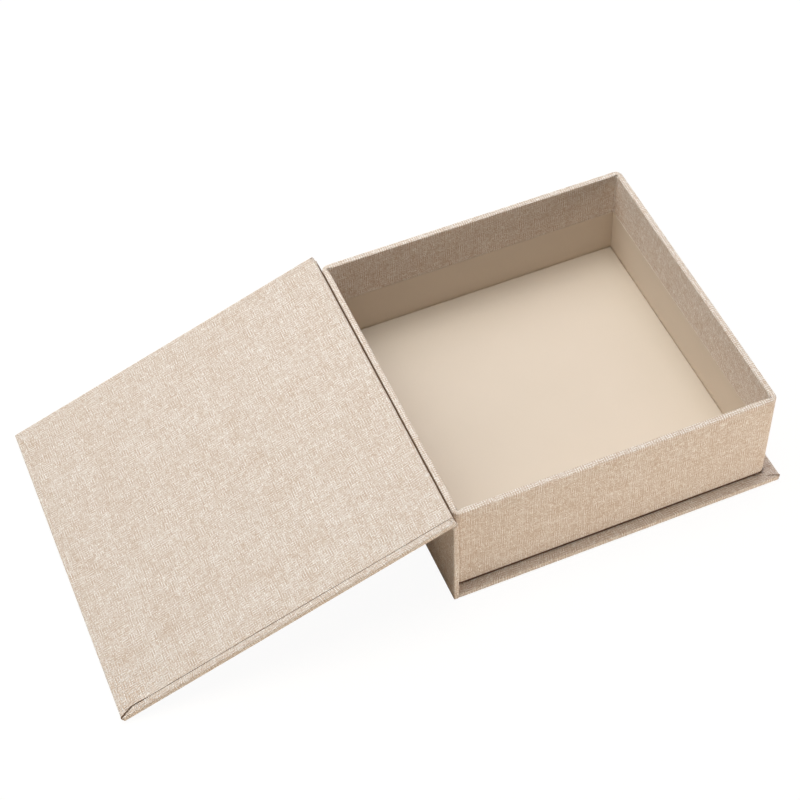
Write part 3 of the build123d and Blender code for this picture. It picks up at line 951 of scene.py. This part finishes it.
# --- Hinge's linen: between the spine's top and the lid's hinge edge the case's cloth and the lining are
# pasted to each other with slack, and their ends are folded in. The lid turns on this double strip.
SPINE_TOP = SPINE_HIGH[2]
STRIP_FOOT = 1.6 * MM
HINGE_END = 0.06 * MM
HINGE_SLACK = 0.05 * MM
BESIDE_LID = 0.16 * MM
GAP_X = -101.5 * MM


def hinge_section():
    """The strip's section, open at the foot: up from the spine's outer face to the lid's outer face, then
    round inside the lid's corner to its hinge edge, and down beside that edge to behind the spine. Also
    returned is the place inside the foot where the folded ends meet."""
    outer_side = [[SPINE_LOW[0] - 0.01 * MM, 0, SPINE_TOP - drop] for drop in (STRIP_FOOT, 0.9 * MM)]
    lid_points = [
        [LID_LOW[0] + 2.2 * MM, 0, LID_HIGH[2]],
        [LID_LOW[0] + 0.9 * MM, 0, LID_HIGH[2]],
        [LID_LOW[0] + 0.5 * MM, 0, LID_HIGH[2] - 1.2 * MM],
        [LID_LOW[0] - BESIDE_LID, 0, LID_HIGH[2] - 1.6 * MM],
    ]
    outer_corner = turned(np.array([LID_LOW[0], 0, LID_HIGH[2]]), -OPEN_ANGLE)
    inner_side = [
        [outer_corner[0] + 0.42 * MM, 0, SPINE_TOP + 0.15 * MM],
        [SPINE_HIGH[0] - 0.08 * MM, 0, SPINE_TOP - 0.5 * MM],
        [SPINE_HIGH[0] - 0.3 * MM, 0, SPINE_TOP - 2.0 * MM],
    ]
    foot = np.array([(SPINE_LOW[0] + SPINE_HIGH[0]) / 2, 0, SPINE_TOP - STRIP_FOOT])
    return np.concatenate([outer_side, turned(np.array(lid_points), -OPEN_ANGLE), inner_side]), foot


def hinge_grids():
    """The section carried along the hinge, with its slack coming and going, and folded in at each end."""
    section, foot = hinge_section()
    half = SPINE_HIGH[1] - HINGE_END
    way = np.linspace(-half, half, 90)
    points = np.repeat(section[:, None], len(way), axis=1)
    points[..., 1] = way[None]
    points[..., 0] += HINGE_SLACK * ripple(way, way * 0, 30 * MM, 71)[None]
    length = np.concatenate([[0], np.cumsum(np.linalg.norm(np.diff(section, axis=0), axis=1))])
    flat = np.stack(np.broadcast_arrays(length[:, None] + 0.8, way[None]), axis=-1)
    ends = []
    for column in (0, -1):
        middle = np.broadcast_to(foot + [0, way[column], 0], (len(section), 3))
        rim = points[:, column]
        end = np.stack([middle, rim] if column == 0 else [rim, middle], axis=1)
        ends.append((end, np.stack([end[..., 0] + 0.8, end[..., 2]], axis=-1)))
    return [(grid[::-1], cloth[::-1]) for grid, cloth in [(points, flat), *ends]], length[-1]


def hinge_gap_shade(points):
    """Painted shade: 1 on the strip's inner side, down in the gap between the spine and the tray, and 0 at
    its ends.
    """
    return off_ends(points) * limited((points[:, 0] - GAP_X) / (0.4 * MM))


strip_grids, strip_round = hinge_grids()
hinge_linen = build_piece("hinge_linen", strip_grids, linen, CLOTH, cut_edge, {"painted_shade": hinge_gap_shade})
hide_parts("hinge_cloth")
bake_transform(hinge_linen)


# --- Table, light and camera: a plain pale floor under five soft boxes above, behind and beside the box,
# with two low white cards in front of it. The camera looks down from the near spine side.
FLOOR_HALF = 3.0
FLOOR_DROP = 0.1 * MM
FLOOR_SHADE = linear(245, 234, 217)
FLOOR_GLOW = 1.03
SHADOW_SHARE = 0.08
SKY_STRENGTH = 0.02
SKY_COLOUR = (1.0, 0.985, 0.96, 1.0)
WHITE = (1.0, 1.0, 1.0, 1.0)


def seen_directly(tree):
    """1 for rays that show the background to the camera, as such or in a gloss or glass, and 0 for light."""
    seen = add_node(tree, "ShaderNodeLightPath", {}, {})
    rays = calc(tree, "MAXIMUM", seen.outputs["Is Camera Ray"], seen.outputs["Is Glossy Ray"])
    return calc(tree, "MAXIMUM", rays, seen.outputs["Is Transmission Ray"])


floor_mesh = bpy.data.meshes.new("table")
signs = ((-1, -1), (1, -1), (1, 1), (-1, 1))
floor_corners = [(x * FLOOR_HALF, y * FLOOR_HALF, -FLOOR_DROP) for x, y in signs]
floor_mesh.from_pydata(floor_corners, [], [(0, 1, 2, 3)])
table = add_object("table", floor_mesh)

table_top, tree, shader = new_material("table_top", 0.9)
shader.inputs["Base Color"].default_value = FLOOR_SHADE
shader.inputs["Specular IOR Level"].default_value = 0.0
glow = add_node(tree, "ShaderNodeEmission", {}, {"Color": WHITE, "Strength": FLOOR_GLOW})
share = calc(tree, "MULTIPLY", seen_directly(tree), 1 - SHADOW_SHARE)
both = add_node(tree, "ShaderNodeMixShader", {}, {0: share, 1: shader.outputs[0], 2: glow.outputs[0]})
tree.links.new(both.outputs[0], tree.nodes["Material Output"].inputs["Surface"])
floor_mesh.materials.append(table_top)

world = bpy.data.worlds.new("studio")
bpy.context.scene.world = world
world.use_nodes = True
tree = world.node_tree
sky = tree.nodes["Background"]
sky.inputs["Color"].default_value = SKY_COLOUR
sky.inputs["Strength"].default_value = SKY_STRENGTH
backdrop = add_node(tree, "ShaderNodeBackground", {}, {"Color": WHITE, "Strength": 1.0})
inputs = {0: seen_directly(tree), 1: sky.outputs[0], 2: backdrop.outputs[0]}
both = add_node(tree, "ShaderNodeMixShader", {}, inputs)
tree.links.new(both.outputs[0], tree.nodes["World Output"].inputs["Surface"])


def soft_light(name, place, aim, size, power, colour):
    """An area light of a width and a height at a place, turned to face the aim."""
    lamp = bpy.data.lights.new(name, "AREA")
    lamp.shape = "RECTANGLE"
    lamp.size, lamp.size_y = size
    lamp.energy = power
    lamp.color = colour
    holder = add_object(name, lamp)
    holder.location = place
    holder.rotation_euler = (Vector(aim) - Vector(place)).to_track_quat("-Z", "Y").to_euler()


BOX_MIDDLE = (0, 0, 0.03)
soft_light("left_softbox", (-1.1, 0.1, 1.4), BOX_MIDDLE, (1.2, 1.2), 7.6, (1.0, 0.87, 0.77))
soft_light("top_softbox", (0.0, 0.1, 1.8), BOX_MIDDLE, (1.0, 1.0), 9.2, (0.96, 1.0, 0.99))
soft_light("back_softbox", (-0.35, 0.35, 1.75), BOX_MIDDLE, (1.4, 1.4), 8.8, (0.92, 1.0, 0.95))
soft_light("back_left_softbox", (-0.7, 0.6, 1.5), BOX_MIDDLE, (1.4, 1.4), 7.0, (0.82, 0.93, 1.0))
soft_light("right_softbox", (0.5, 0.6, 1.6), BOX_MIDDLE, (1.4, 1.4), 11.5, (1.0, 0.92, 0.97))
soft_light("low_card", (0.3, -0.9, 0.034), (0.03, -0.1, 0.03), (0.9, 0.066), 2.75, (1.0, 0.92, 0.84))
soft_light("right_card", (0.8, -0.8, 0.1), (0.06, -0.1, 0.03), (0.8, 0.16), 2.5, (1.0, 0.9, 0.79))

CAMERA_PLACE = (-0.34345, -0.66275, 0.94269)
CAMERA_RIGHT = Vector((0.92191, -0.38654, -0.02571))
CAMERA_DOWN = Vector((-0.31717, -0.71502, -0.62301))
LENS_LENGTH = 88.48
SENSOR_WIDTH = 36
lens = bpy.data.cameras.new("camera")
lens.lens = LENS_LENGTH
lens.sensor_width = SENSOR_WIDTH
camera = add_object("camera", lens)
back = -CAMERA_RIGHT.cross(CAMERA_DOWN)
turn = Matrix((CAMERA_RIGHT, -CAMERA_DOWN, back)).transposed()
camera.matrix_world = Matrix.Translation(CAMERA_PLACE) @ turn.to_4x4()
bpy.context.scene.camera = camera
bpy.context.scene.view_settings.view_transform = "Standard"
